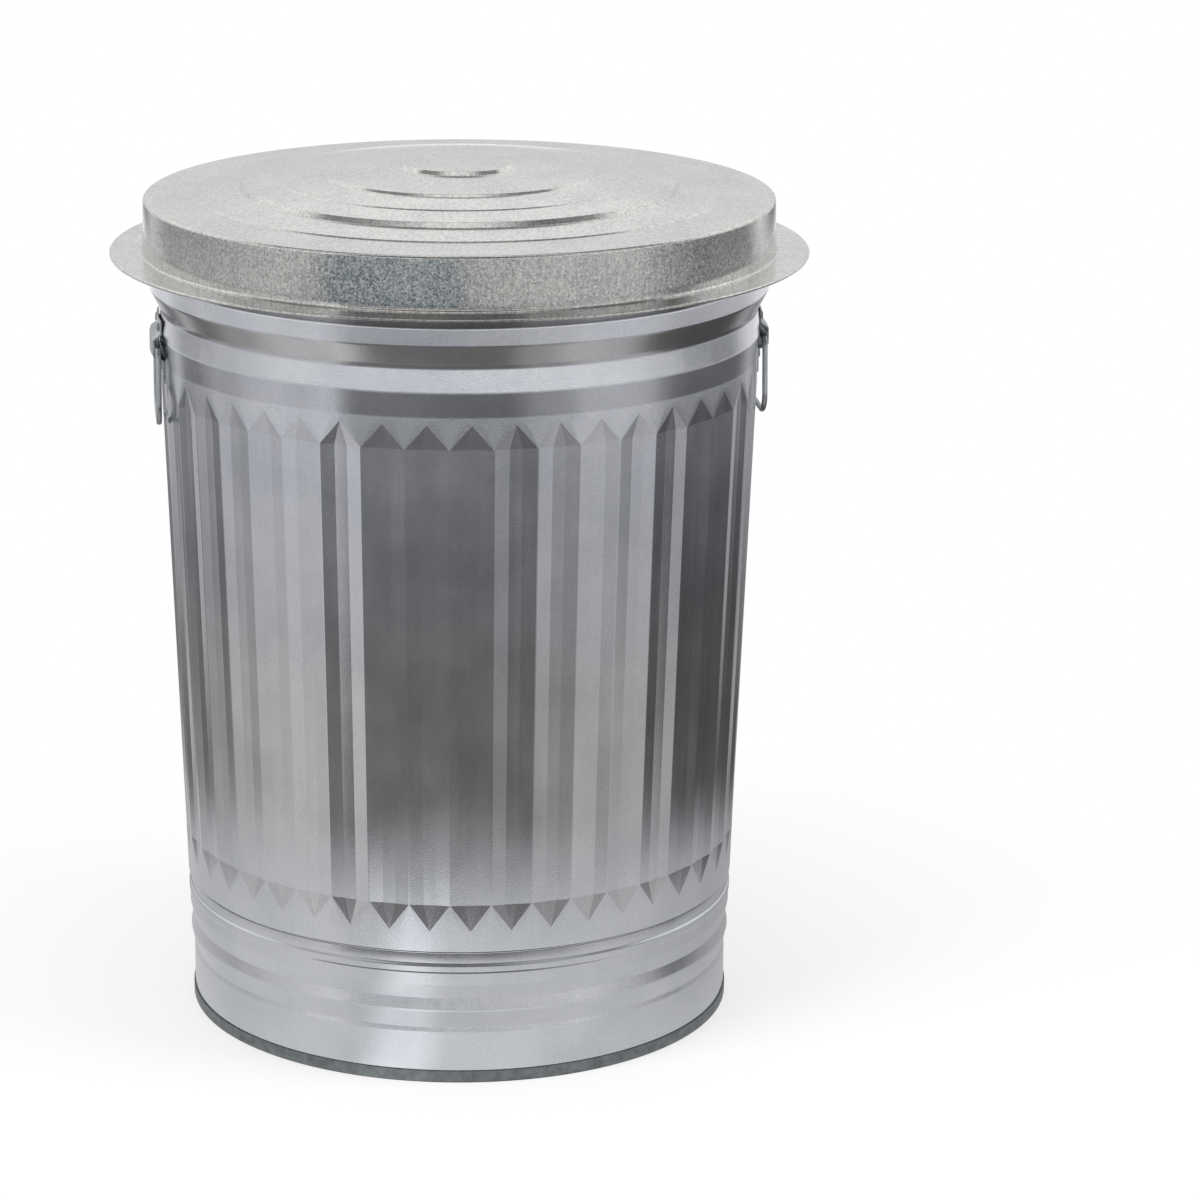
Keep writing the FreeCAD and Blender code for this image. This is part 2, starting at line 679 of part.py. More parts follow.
os.makedirs("parts", exist_ok=True)
for part in parts:
    part.Shape.exportStep(f"parts/{part.Label}.step")
    print(f"{part.Label}: {len(part.Shape.Solids)} solid(s), {part.Shape.Volume:.1f} mm3")
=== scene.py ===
import math

import bmesh
import bpy
from bpy.props import FloatProperty, FloatVectorProperty, IntProperty, PointerProperty
from mathutils import Matrix, Vector


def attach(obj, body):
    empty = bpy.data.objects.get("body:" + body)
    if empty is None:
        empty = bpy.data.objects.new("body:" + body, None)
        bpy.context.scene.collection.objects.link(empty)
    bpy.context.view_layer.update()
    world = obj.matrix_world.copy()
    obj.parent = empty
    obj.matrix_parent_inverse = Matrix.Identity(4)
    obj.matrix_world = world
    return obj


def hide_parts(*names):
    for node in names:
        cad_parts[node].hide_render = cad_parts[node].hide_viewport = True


bl_info = {
    "name": "Galvanised Trash Can",
    "version": (1, 0, 0),
    "blender": (4, 5, 0),
    "location": "View3D > Sidebar > Trash Can",
    "description": "Builds a fluted galvanised trash can with its lid, base hoop and drop handles",
    "category": "Object",
}

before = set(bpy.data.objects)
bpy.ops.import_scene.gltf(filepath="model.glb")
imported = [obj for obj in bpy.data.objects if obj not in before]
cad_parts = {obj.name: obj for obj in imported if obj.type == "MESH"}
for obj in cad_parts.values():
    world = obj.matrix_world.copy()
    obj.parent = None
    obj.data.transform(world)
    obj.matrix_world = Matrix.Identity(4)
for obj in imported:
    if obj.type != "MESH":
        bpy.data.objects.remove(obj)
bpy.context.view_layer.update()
MM = 0.001


# ---------------------------------------------------------------------------------------------
# Sizes and colours that a user may change


def linear(code):
    """An sRGB hex colour as linear red, green, blue and alpha."""
    channels = [int(code[place:place + 2], 16) / 255 for place in (1, 3, 5)]
    return (*[c / 12.92 if c <= 0.04045 else ((c + 0.055) / 1.055) ** 2.4 for c in channels], 1.0)


def length(name, description, millimetres):
    return FloatProperty(name=name, description=description, default=millimetres * MM,
                         unit="LENGTH", subtype="DISTANCE", precision=5)


def colour(name, description, code):
    return FloatVectorProperty(name=name, description=description, default=linear(code)[:3],
                               size=3, min=0.0, max=1.0, subtype="COLOR")


class WallSizes(bpy.types.PropertyGroup):
    sheet: length("Sheet", "Thickness of the wall, the hoop and the lid", 0.8)
    top_radius: length("Top radius", "Wall, above the flutes", 251.0)
    foot_radius: length("Foot radius", "Wall, just above the hoop", 235.2)
    neck_height: length("Neck height", "Level of the neck under the lid", 611.2)
    foot_height: length("Foot height", "Level where the wall steps in to enter the hoop", 116.0)
    rim_wire: length("Rim wire", "Radius of the wire that the rim is curled round", 2.0)
    flute_count: IntProperty(name="Flutes", description="Flutes round the wall", default=44, min=12, max=90)
    flute_depth: length("Flute depth", "Floor of a flute under its ridges", 1.7)
    flute_land: length("Flute land", "Width of the ridge between two flutes", 1.0)
    flute_turn: FloatProperty(name="First flute", default=math.radians(5.05), subtype="ANGLE",
                              unit="ROTATION", description="Angle from +X to the middle of the first flute")
    flute_head: length("Flute head", "Level where the full flute ends, above", 543.7)
    flute_foot: length("Flute foot", "Level where the full flute ends, below", 156.7)
    head_point: length("Upper point", "Length of a flute's upper point", 20.0)
    foot_point: length("Lower point", "Length of a flute's lower point", 22.5)


class BaseSizes(bpy.types.PropertyGroup):
    radius: length("Plain radius", "Plain foot of the hoop", 231.0)
    top_height: length("Top", "Upper edge of the hoop", 113.3)
    chime_height: length("Seam height", "Height of the seam ring that the can stands on", 10.3)
    floor_height: length("Floor", "Top of the can's floor over the ground", 16.0)
    pan_sheet: length("Bottom sheet", "Thickness of the bottom", 1.0)
    seam_gap: length("Seam play", "Play between the layers of the bottom seam", 0.1)


class LidSizes(bpy.types.PropertyGroup):
    plane: length("Ring height", "Height of the lid's outer ring over the ground", 702.7)
    drum_depth: length("Side height", "Height of the lid's upright side", 44.5)
    drum_radius: length("Side radius", "Lid side, at its upper edge", 263.8)
    brim_radius: length("Brim radius", "Outer edge of the brim", 292.5)
    hem_height: length("Hem", "Height of the folded edge of the brim", 2.4)
    dome_rise: length("Dome", "Boss over the lid's outer ring", 27.0)


class ZincColours(bpy.types.PropertyGroup):
    bright: colour("Bright zinc", "Sheet of the wall and the hoop", "#CFD1D6")
    bright_shade: colour("Bright zinc, darker grain", "Darker crystals of that sheet", "#BFC2C8")
    spangle: colour("Spangled zinc", "Sheet of the lid", "#E6E5E2")
    spangle_shade: colour("Spangled zinc, darker crystals", "Darker crystals of the lid", "#B4B5B5")
    dull: colour("Dull zinc", "Bottom and its seam ring", "#8A9092")
    wire: colour("Wire zinc", "Wire and rivets", "#B9BDC2")


# ---------------------------------------------------------------------------------------------
# Shared work on shapes


def rounded_wire(corners, segments=4):
    """A bmesh wire through (radius, height, bend) corners in the XZ plane, its corners rounded."""
    mesh = bmesh.new()
    spots = [mesh.verts.new((corner[0], 0.0, corner[1])) for corner in corners]
    for start, end in zip(spots, spots[1:]):
        mesh.edges.new((start, end))
    bends = []
    for index in range(1, len(corners) - 1):
        if len(corners[index]) > 2:
            before = (spots[index - 1].co - spots[index].co).normalized()
            after = (spots[index + 1].co - spots[index].co).normalized()
            turn = math.pi - before.angle(after)
            bends.append((spots[index], corners[index][2] * math.tan(turn / 2)))
    for spot, reach in bends:
        bmesh.ops.bevel(mesh, geom=[spot], offset=reach, offset_type="OFFSET", segments=segments,
                        profile=0.5, affect="VERTICES", material=-1)
    return mesh


def turn_about_axis(mesh, angle):
    """Turns a mesh about the can's axis."""
    bmesh.ops.rotate(mesh, verts=mesh.verts, cent=(0, 0, 0), matrix=Matrix.Rotation(angle, 3, "Z"))


def spin_about_axis(mesh, angle, steps, closed):
    """Turns a wire about the can's axis into a surface."""
    bmesh.ops.spin(mesh, geom=mesh.verts[:] + mesh.edges[:], cent=(0, 0, 0), axis=(0, 0, 1),
                   angle=angle, steps=steps, use_merge=closed)
    bmesh.ops.remove_doubles(mesh, verts=mesh.verts, dist=1e-7)


def face_outwards(mesh, probe):
    """Makes the faces agree, with the one nearest to the probe point turned towards it."""
    bmesh.ops.recalc_face_normals(mesh, faces=mesh.faces)
    target = Vector(probe)
    near = min(mesh.faces, key=lambda face: (face.calc_center_median() - target).length)
    if near.normal.dot(target - near.calc_center_median()) < 0:
        bmesh.ops.reverse_faces(mesh, faces=mesh.faces)


def finish_piece(mesh, name, body, material, thickness, replaced):
    """Turns a bmesh of a sheet's outer face into a smooth object that rides on a body and stands for
    CAD nodes."""
    for face in mesh.faces:
        face.smooth = True
    data = bpy.data.meshes.new(name)
    mesh.to_mesh(data)
    mesh.free()
    piece = bpy.data.objects.new(name, data)
    bpy.context.scene.collection.objects.link(piece)
    data.materials.append(material)
    sheet = piece.modifiers.new("Sheet", "SOLIDIFY")
    sheet.thickness = thickness
    sheet.offset = -1.0
    sheet.use_even_offset = True
    flats = piece.modifiers.new("Flat faces", "WEIGHTED_NORMAL")
    flats.mode = "FACE_AREA"
    flats.weight = 50
    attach(piece, body)
    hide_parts(*replaced)


# ---------------------------------------------------------------------------------------------
# Materials


def add(tree, kind, inputs=None, **settings):
    """Adds a node with its settings; an input is a value or another node's output."""
    node = tree.nodes.new(kind)
    for name, value in settings.items():
        setattr(node, name, value)
    for name, value in (inputs or {}).items():
        if isinstance(value, bpy.types.NodeSocket):
            tree.links.new(value, node.inputs[name])
        else:
            node.inputs[name].default_value = value
    return node


def ramp(tree, factor, stops):
    """The colour of a ramp with (position, colour) stops."""
    node = add(tree, "ShaderNodeValToRGB", {"Fac": factor})
    elements = node.color_ramp.elements
    while len(elements) < len(stops):
        elements.new(0.5)
    for element, (place, shade) in zip(elements, stops):
        element.position = place
        element.color = shade if len(shade) == 4 else (*shade, 1.0)
    return node.outputs["Color"]


def grey(value):
    """A brightness as a colour with alpha."""
    return (value, value, value, 1.0)


def linear_rgb(value):
    """A colour property as a plain tuple."""
    return tuple(value[:3])


def calc(tree, operation, *values):
    """The output of a maths node."""
    return add(tree, "ShaderNodeMath", dict(enumerate(values)), operation=operation).outputs[0]


def spread(tree, value, low, high, first=0.0, last=1.0):
    """A value's place between low and high, spread from first to last."""
    return add(tree, "ShaderNodeMapRange", {"Value": value, "From Min": low, "From Max": high,
                                            "To Min": first, "To Max": last}).outputs["Result"]


def noise(tree, place, size_mm, detail, roughness=0.5):
    """Noise with features of about the given size."""
    return add(tree, "ShaderNodeTexNoise", {"Vector": place, "Scale": 1 / (size_mm * MM), "Detail": detail,
                                            "Roughness": roughness}).outputs["Fac"]


def drawn_upright(tree, place, share):
    """The place with its height squeezed, so that a pattern on it is drawn out upright."""
    return add(tree, "ShaderNodeMapping", {"Vector": place, "Scale": (1.0, 1.0, share)}).outputs["Vector"]


def metal(name):
    """A metal material with its node tree, its shader and its place in object coordinates."""
    material = bpy.data.materials.new(name)
    material.use_nodes = True
    tree = material.node_tree
    tree.nodes.clear()
    output = add(tree, "ShaderNodeOutputMaterial")
    shader = add(tree, "ShaderNodeBsdfPrincipled", {"Metallic": 1.0})
    tree.links.new(shader.outputs["BSDF"], output.inputs["Surface"])
    place = add(tree, "ShaderNodeTexCoord").outputs["Object"]
    return material, tree, shader, place


def finish_metal(tree, shader, base, gloss, height, strength, depth_mm):
    """Joins the colour, the roughness and the relief to a metal's shader."""
    relief = add(tree, "ShaderNodeBump", {"Height": height, "Strength": strength, "Distance": depth_mm * MM})
    tree.links.new(base, shader.inputs["Base Color"])
    tree.links.new(gloss, shader.inputs["Roughness"])
    tree.links.new(relief.outputs["Normal"], shader.inputs["Normal"])


def bright_sheet(name, light, shade, grain_mm=1.1, roughness=(0.15, 0.21)):
    """Hot-dip galvanised sheet with minimised spangle, cold rolled: a fine orange-peel grain under
    satin gloss, with faint cloudy patches and upright rub marks from the forming rolls."""
    material, tree, shader, place = metal(name)
    grain = noise(tree, place, grain_mm, 3.0, 0.6)
    cloud = noise(tree, place, 60, 3.0)
    rub = noise(tree, drawn_upright(tree, place, 0.03), 5, 2.0)
    mean = calc(tree, "MULTIPLY", calc(tree, "ADD", grain, cloud), 0.5)
    base = ramp(tree, mean, [(0.38, shade), (0.60, light)])
    gloss = spread(tree, calc(tree, "ADD", rub, cloud), 0.7, 1.3, *roughness)
    finish_metal(tree, shader, base, gloss, grain, 0.2, 0.3)
    return material


def spangled_sheet(name, light, shade):
    """Hot-dip galvanised sheet with its spangle left: flat zinc crystals, each with its own tone and
    gloss, a little chalky, with upright draw marks on the lid's side. The real crystals are finer than
    a pixel of the picture, so they are drawn coarser here, about 1.5 mm across."""
    material, tree, shader, place = metal(name)
    crystals = add(tree, "ShaderNodeTexVoronoi", {"Vector": place, "Scale": 1 / (1.5 * MM),
                                                  "Randomness": 1.0})
    facet = add(tree, "ShaderNodeSeparateColor", {"Color": crystals.outputs["Color"]})
    fine = noise(tree, place, 0.9, 2.0)
    cloud = noise(tree, place, 45, 4.0)
    draw = noise(tree, drawn_upright(tree, place, 0.06), 1.6, 2.0)
    marks = calc(tree, "ADD", calc(tree, "ADD", facet.outputs["Red"], fine), draw)
    mean = calc(tree, "MULTIPLY", calc(tree, "ADD", marks, cloud), 0.25)
    base = ramp(tree, mean, [(0.32, shade), (0.62, light)])
    gloss = spread(tree, facet.outputs["Green"], 0.0, 1.0, 0.11, 0.19)
    finish_metal(tree, shader, base, gloss, mean, 0.1, 0.1)
    return material


def dull_sheet(name, light):
    """Galvanised sheet dulled by handling and standing in the wet: grey, matt and patchy."""
    material, tree, shader, place = metal(name)
    patches = noise(tree, place, 9, 5.0, 0.65)
    fine = noise(tree, place, 1.2, 2.0)
    dark = tuple(channel * 0.55 for channel in light)
    base = ramp(tree, patches, [(0.35, dark), (0.68, light)])
    gloss = spread(tree, patches, 0.3, 0.7, 0.38, 0.55)
    finish_metal(tree, shader, base, gloss, fine, 0.2, 0.3)
    return material


def dress(node, material):
    """Puts a material on a CAD node in place of its plain one."""
    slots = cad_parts[node].data.materials
    for index in range(len(slots)):
        slots[index] = material


# ---------------------------------------------------------------------------------------------
# Wall


NECK_PROFILE = [
    # mm out from the wall's top radius, mm over the neck, bend in mm
    (9.0, 32.5, 5),  # upper edge of the shoulder
    (9.0, 18.0, 5),  # lower edge of the shoulder
    (-0.3, 0.0, 9),  # neck
    (1.6, -21.0, 12),  # crest of the bead
    (0.0, -41.0, 20),  # the bead runs out into the wall
]
SKIRT_PROFILE = [
    # radius in mm, mm over the step into the hoop, bend in mm
    (232.2, -1.4, 0.7),
    (229.3, -67.7, 1.2),
    (230.1, -78.9, 1.2),
]
SKIRT_END = 1.2 * MM  # level of the wall's lower edge, inside the bottom's fold
COLLAR_RISE = 41.5 * MM  # foot of the upright collar over the neck
PLAIN_BAND = 4 * MM  # plain wall beyond the points of the flutes
RIM_SIDE_PLAY = 1.2 * MM  # play between the rim and the lid's side
RIM_TOP_PLAY = 0.3 * MM  # play between the rim and the lid's top
CURL_PLAY = 0.25 * MM  # play between the rim's wire and its curl


def wall_corners(sizes, lid):
    """Outer face of the wall from the free end of the rim's curl down to the foot of the skirt."""
    top = sizes.top_radius
    curl = sizes.rim_wire + CURL_PLAY
    bend = curl * 0.95
    centre = lid.drum_radius - RIM_SIDE_PLAY - sizes.sheet * 2 - curl
    level = lid.plane - RIM_TOP_PLAY - sizes.sheet * 2 - curl
    neck = sizes.neck_height
    foot = sizes.foot_height
    slope = (top - sizes.foot_radius) / (sizes.flute_head - foot)
    upper_tip = sizes.flute_head + sizes.head_point
    lower_tip = sizes.flute_foot - sizes.foot_point

    def wall_at(height):
        return min(top, sizes.foot_radius + slope * (height - foot))

    corners = [
        (centre, level - curl),
        (centre + curl, level - curl, bend),
        (centre + curl, level + curl, bend),
        (centre - curl, level + curl, bend),
        (centre - curl, neck + COLLAR_RISE, 5 * MM),
    ]
    corners += [(top + out * MM, neck + rise * MM, rounding * MM) for out, rise, rounding in NECK_PROFILE]
    corners.append((top, upper_tip + PLAIN_BAND))
    for height in (upper_tip, sizes.flute_head, sizes.flute_foot, lower_tip, lower_tip - PLAIN_BAND):
        corners.append((wall_at(height), height))
    corners.append((sizes.foot_radius, foot, 0.7 * MM))
    corners += [(radius * MM, foot + rise * MM, rounding * MM) for radius, rise, rounding in SKIRT_PROFILE]
    corners.append((SKIRT_PROFILE[-1][0] * MM, SKIRT_END))
    return corners


def press_flute(mesh, sizes):
    """Moves the columns of one bay to a flute: floor, facets and ridges, drawn to a point at each end.

    Each column of the bay, counted from its middle, gets its share of half the pitch and of the depth."""
    half_pitch = math.pi / sizes.flute_count
    ridge = 1.0 - sizes.flute_land / 2 / (sizes.top_radius * half_pitch)
    floor = 0.30
    full = {0: (0.0, 1.0), 1: (floor, 1.0), 2: (ridge, 0.0), 3: ((1 + ridge) / 2, 0.0), 4: (1.0, 0.0)}
    tip = {0: (0.0, 0.0), 1: (0.0, 0.0), 2: (0.0, 0.0), 3: (0.5, 0.0), 4: (1.0, 0.0)}
    levels = {
        sizes.flute_head: full,
        sizes.flute_foot: full,
        sizes.flute_head + sizes.head_point: tip,
        sizes.flute_foot - sizes.foot_point: tip,
    }
    for spot in mesh.verts:
        for level, columns in levels.items():
            if abs(spot.co.z - level) < 1e-5:
                radius = math.hypot(spot.co.x, spot.co.y)
                angle = math.atan2(spot.co.y, spot.co.x)
                share, sunk = columns[abs(round(4 * angle / half_pitch))]
                angle = math.copysign(share * half_pitch, angle)
                low = radius * (1 - sizes.flute_depth / sizes.top_radius)
                radius += (low - radius) * sunk
                spot.co = (radius * math.cos(angle), radius * math.sin(angle), spot.co.z)


def soften_flutes(mesh, sizes):
    """Rounds the creases of the pressed flutes a little."""
    low = sizes.flute_foot - sizes.foot_point - 1e-4
    high = sizes.flute_head + sizes.head_point + 1e-4
    creases = []
    for edge in mesh.edges:
        inside = all(low < spot.co.z < high for spot in edge.verts)
        if inside and len(edge.link_faces) == 2 and edge.calc_face_angle(0.0) > math.radians(2.0):
            creases.append(edge)
    bmesh.ops.bevel(mesh, geom=creases, offset=0.7 * MM, offset_type="OFFSET", segments=2, profile=0.5,
                    affect="EDGES", clamp_overlap=True, material=-1)


class TRASHCAN_OT_wall(bpy.types.Operator):
    """Builds the fluted wall with its curled rim, neck, bead and skirt"""

    bl_idname = "trashcan.wall"
    bl_label = "Wall"

    def execute(self, context):
        sizes = context.scene.trashcan_wall
        pitch = 2 * math.pi / sizes.flute_count
        mesh = rounded_wire(wall_corners(sizes, context.scene.trashcan_lid))
        turn_about_axis(mesh, -pitch / 2)
        spin_about_axis(mesh, pitch, 8, closed=False)
        press_flute(mesh, sizes)
        bmesh.ops.remove_doubles(mesh, verts=mesh.verts, dist=1e-6)
        turn_about_axis(mesh, sizes.flute_turn)
        bay = mesh.verts[:] + mesh.edges[:] + mesh.faces[:]
        bmesh.ops.spin(mesh, geom=bay, cent=(0, 0, 0), axis=(0, 0, 1), angle=2 * math.pi - pitch,
                       steps=sizes.flute_count - 1, use_duplicate=True)
        bmesh.ops.remove_doubles(mesh, verts=mesh.verts, dist=2e-6)
        face_outwards(mesh, (sizes.top_radius * 1.5, 0, sizes.flute_head + 30 * MM))
        soften_flutes(mesh, sizes)
        colours = context.scene.trashcan_colours
        zinc = bright_sheet("bright_galvanised_sheet_wall", colours.bright, colours.bright_shade)
        finish_piece(mesh, "fluted_wall", "can", zinc, sizes.sheet, ["body_shell"])
        return {"FINISHED"}


# ---------------------------------------------------------------------------------------------
# Base


HOOP_PROFILE = [
    # mm out from the plain radius, mm under the upper edge, bend in mm
    (2.1, 8.1, 1.2), (3.9, 9.9, 1.2), (3.9, 14.7, 1.2),  # collar and ridge
    (3.1, 16.5, 1.2), (3.1, 26.3, 2.4), (0.5, 38.8, 1.8),  # swell and groove
    (2.4, 48.5, 1.2), (2.4, 50.3, 1.2), (-0.8, 65.0, 1.2), (0.0, 69.0, 1.2),  # lower ridge and valley
]


def hoop_corners(base):
    """Outer face of the swaged hoop from its upper edge down into the bottom seam."""
    radius = base.radius
    top = base.top_height
    corners = [(radius + HOOP_PROFILE[0][0] * MM, top)]
    corners += [(radius + out * MM, top - down * MM, rounding * MM) for out, down, rounding in HOOP_PROFILE]
    return corners + [(radius, base.pan_sheet + base.seam_gap * 2)]


def pan_corners(base, sheet):
    """Outer face of the bottom: floor, upright edge, fold under the wall, and back up round the hoop."""
    inside = base.radius - 2 * (sheet + base.seam_gap)
    outside = base.radius + base.seam_gap
    fold = 0.4 * MM
    return [
        (0.0, base.floor_height),
        (inside, base.floor_height, 5 * MM),
        (inside, base.pan_sheet, fold),
        (outside, base.pan_sheet, fold),
        (outside, base.chime_height),
    ]


class TRASHCAN_OT_base(bpy.types.Operator):
    """Builds the swaged hoop and the bottom with its folded seam ring"""

    bl_idname = "trashcan.base"
    bl_label = "Base"

    def execute(self, context):
        base = context.scene.trashcan_base
        sheet = context.scene.trashcan_wall.sheet
        colours = context.scene.trashcan_colours
        hoop = rounded_wire(hoop_corners(base))
        spin_about_axis(hoop, 2 * math.pi, 288, closed=True)
        face_outwards(hoop, (base.radius * 1.5, 0, base.top_height - 25 * MM))
        zinc = bright_sheet("bright_galvanised_sheet_hoop", colours.bright, colours.bright_shade, 0.9,
                            (0.16, 0.22))
        finish_piece(hoop, "swaged_hoop", "can", zinc, sheet, ["base_hoop"])
        pan = rounded_wire(pan_corners(base, sheet))
        spin_about_axis(pan, 2 * math.pi, 288, closed=True)
        face_outwards(pan, (0, 0, base.floor_height * 4))
        dull = dull_sheet("dulled_galvanised_sheet_bottom", linear_rgb(colours.dull))
        finish_piece(pan, "bottom_with_seam_ring", "can", dull, base.pan_sheet,
                     ["bottom_pan"])
        return {"FINISHED"}


# ---------------------------------------------------------------------------------------------
# Lid


LID_STEPS = [
    # radius, rise over the outer ring, drop, run and bend of each pressed step, in mm
    (47.0, 27.0, 3.0, 4.0, 1.6),
    (114.0, 20.5, 2.0, 2.4, 1.6),
    (150.0, 14.8, 0.9, 2.0, 1.0),
    (180.0, 10.4, 3.8, 4.0, 1.6),
    (218.0, 2.6, 1.1, 2.0, 1.0),
]
SIDE_SPREAD = 1.4 * MM  # the lid's side widens this much down to the brim


def lid_corners(lid):
    """Outer face of the lid from the middle of its boss to the free end of the brim's folded edge."""
    plane = lid.plane
    corners = [(0.0, plane + lid.dome_rise)]
    for radius, rise, drop, run, bend in LID_STEPS:
        corners.append((radius * MM, plane + rise * MM, bend * MM))
        corners.append(((radius + run) * MM, plane + (rise - drop) * MM, bend * MM))
    brim = plane - lid.drum_depth
    hem = brim - lid.hem_height
    hem_bend = lid.hem_height * 0.48
    return corners + [
        (lid.drum_radius - 8 * MM, plane, 1.6 * MM),
        (lid.drum_radius, plane, 2.4 * MM),
        (lid.drum_radius + SIDE_SPREAD, brim, 2.0 * MM),
        (lid.brim_radius, brim, hem_bend),
        (lid.brim_radius, hem, hem_bend),
        (lid.brim_radius - 7 * MM, hem),
    ]


class TRASHCAN_OT_lid(bpy.types.Operator):
    """Builds the drawn lid with its stepped dome, upright side and brim"""

    bl_idname = "trashcan.lid"
    bl_label = "Lid"

    def execute(self, context):
        lid = context.scene.trashcan_lid
        sheet = context.scene.trashcan_wall.sheet
        colours = context.scene.trashcan_colours
        mesh = rounded_wire(lid_corners(lid))
        spin_about_axis(mesh, 2 * math.pi, 320, closed=True)
        face_outwards(mesh, (0, 0, lid.plane * 2))
        zinc = spangled_sheet("spangled_galvanised_sheet_lid", linear_rgb(colours.spangle),
                              linear_rgb(colours.spangle_shade))
        finish_piece(mesh, "drawn_lid", "lid", zinc, sheet, ["lid_shell"])
        return {"FINISHED"}


# ---------------------------------------------------------------------------------------------
# Handles, rivets and the rim's wire: CAD nodes with their real finishes


class TRASHCAN_OT_handles(bpy.types.Operator):
    """Gives the handle plates, rivets, drop handles and rim wire their finishes"""

    bl_idname = "trashcan.handles"
    bl_label = "Handles"

    def execute(self, context):
        colours = context.scene.trashcan_colours
        plate = bright_sheet("galvanised_pressed_plate", colours.bright, colours.dull, 1.4, (0.30, 0.42))
        wire = bright_sheet("galvanised_drawn_wire", colours.wire, colours.dull, 0.8, (0.24, 0.36))
        rivet = dull_sheet("zinc_plated_rivet", linear_rgb(colours.wire))
        for side in ("right", "left"):
            dress(f"handle_plate_{side}", plate)
            dress(f"plate_rivets_{side}", rivet)
            dress(f"bail_{side}", wire)
        dress("rim_wire", wire)
        return {"FINISHED"}


# ---------------------------------------------------------------------------------------------
# Stage: floor, surroundings, lamps and camera

VIEW_TURN = math.radians(5.4)  # the camera stands this far to the left of the can's front
FRONT_ANGLE = -math.pi / 2 - VIEW_TURN
CAMERA_AWAY = 3.6542  # metres from the can's axis
CAMERA_HEIGHT = 1.3890
CAMERA_DIP = 0.27707  # radians that it looks down
PICTURE_WIDTH = 1200  # pixels, for the two values below
FOCAL_LENGTH = 4433.7
CAN_COLUMN = 459.3  # where the can's axis stands, counted from the left edge
SENSOR_WIDTH = 36.0

# What the metals mirror, which only glossy rays meet. It is neither a plain studio nor the white background
# that the camera sees: its brightnesses were fitted to tones read on the can in the photograph, so
# that the wall's stripes, the lid's side and its rings come out as light and dark as they are there. The
# tables belong to the stage, not to the metals, and under other light the stripes fall elsewhere.
# Painted reflection round the can, which lays the light and dark stripes on the wall's flutes.
PAINTED_REFLECTION_ROUND = [
    # degrees to the right of the camera, brightness of the painted reflection in that direction
    (-180, 0.45), (-160, 0.75), (-148, 0.16), (-140, 0.20), (-132, 0.80), (-126, 0.16), (-112, 0.20),
    (-104, 0.45), (-92, 0.42), (-86, 0.58), (-70, 0.66), (-58, 0.60), (-45, 0.84), (-42, 0.18), (-18, 0.20),
    (0, 0.18), (22, 0.17), (25, 0.36), (40, 0.36), (44, 0.60), (70, 0.56), (77, 0.44), (82, 0.12),
    (110, 0.10), (134, 0.10), (142, 0.55), (152, 0.16), (166, 0.70), (180, 0.45),
]
NEAR_SHEEN = [
    # the same for the floor near the can's foot, painted sheen with a painted highlight left of the middle
    (-180, 0.50), (-120, 0.64), (-60, 0.78), (-26, 0.82), (-18, 1.25), (-11, 1.25), (-4, 0.90), (40, 0.78),
    (90, 0.58), (140, 0.42), (180, 0.50),
]
PAINTED_BAND_REFLECTION = [
    # the same for a painted reflection on a band of the floor, which the lid's upright side mirrors, dark
    # and blue in front
    (-180, 0.45), (-166, 0.10), (-154, 0.14), (-144, 0.75), (-130, 0.30), (-104, 0.36), (-60, 0.38),
    (-52, 0.26), (-44, (0.04, 0.08, 0.11)), (-10, (0.03, 0.07, 0.10)), (-3, (0.05, 0.09, 0.12)), (6, 0.28),
    (34, 0.40), (64, 0.44), (76, 0.24), (96, 0.16), (124, 0.22), (136, 0.85), (148, 0.30), (158, 0.08),
    (170, 0.14), (180, 0.45),
]
FLOOR_REACH = 14.0  # radius of the floor in metres
PAINTED_BRIGHT_REFLECTION = 1.3  # brightness of the painted bright reflection
FAR_PAINTED_REFLECTION = [
    # distance from the can's axis in metres, share of the painted bright reflection there
    (0.0, 0.0), (1.7, 0.0), (1.95, 0.06), (2.65, 0.06), (2.95, 0.75), (3.5, 0.75), (3.9, 0.0), (6.2, 0.0),
    (7.2, 1.0),
]
PAINTED_REFLECTION_ABOVE = [
    # height of a direction, as its sine, and the brightness of the painted reflection there; its dark stops
    # are painted shade on the lid's rings
    (0.0, 0.68), (0.22, 0.80), (0.42, 1.0), (0.72, 1.0), (0.78, 0.30), (0.93, 0.30), (0.975, 1.0),
]
BAND = [(3.7, 0.0), (4.0, 1.0), (6.8, 1.0), (7.4, 0.0)]  # distance, share of the painted band reflection
PAINTED_REFLECTION_TINT = [(0.6, (1.02, 0.98, 0.94)), (1.15, (1.0, 0.96, 0.92)), (1.5, (1.0, 1.0, 1.03))]  # distance, tint of the painted reflection, warm out to about 1.2 m
NEAR_SHEEN_REACH = (0.56, 0.72)  # metres from the axis over which the painted near sheen ends
SHEEN_SLANT = (0.10, 0.32)  # facing over which the painted near sheen begins
SHADOW_FADE = (0.30, 0.75)  # metres over which the shadow on the paper fades to white
HIGH = (0.94, 0.99)  # heights of directions, as sines, over which the painted reflection round the can gives way to the one above
HORIZON = (0.12, 0.07)  # the same for the painted bright strip just over the floor's far edge
BEHIND = (-0.1, 0.15)  # cosines away from the camera over which the pale painted reflection behind the can begins


def tone(value):
    """A brightness or a linear colour as a colour with alpha."""
    return (*value, 1.0) if isinstance(value, tuple) else grey(value)


def by_direction(tree, place, table):
    """Brightness by the direction round the can, from a table in degrees to the camera's right."""
    split = add(tree, "ShaderNodeSeparateXYZ", {"Vector": place})
    angle = calc(tree, "ARCTAN2", split.outputs["Y"], split.outputs["X"])
    wrapped = calc(tree, "WRAP", calc(tree, "SUBTRACT", angle, FRONT_ANGLE), math.pi, -math.pi)
    stops = [((degrees + 180) / 360, tone(value)) for degrees, value in table]
    return ramp(tree, spread(tree, wrapped, -math.pi, math.pi), stops)


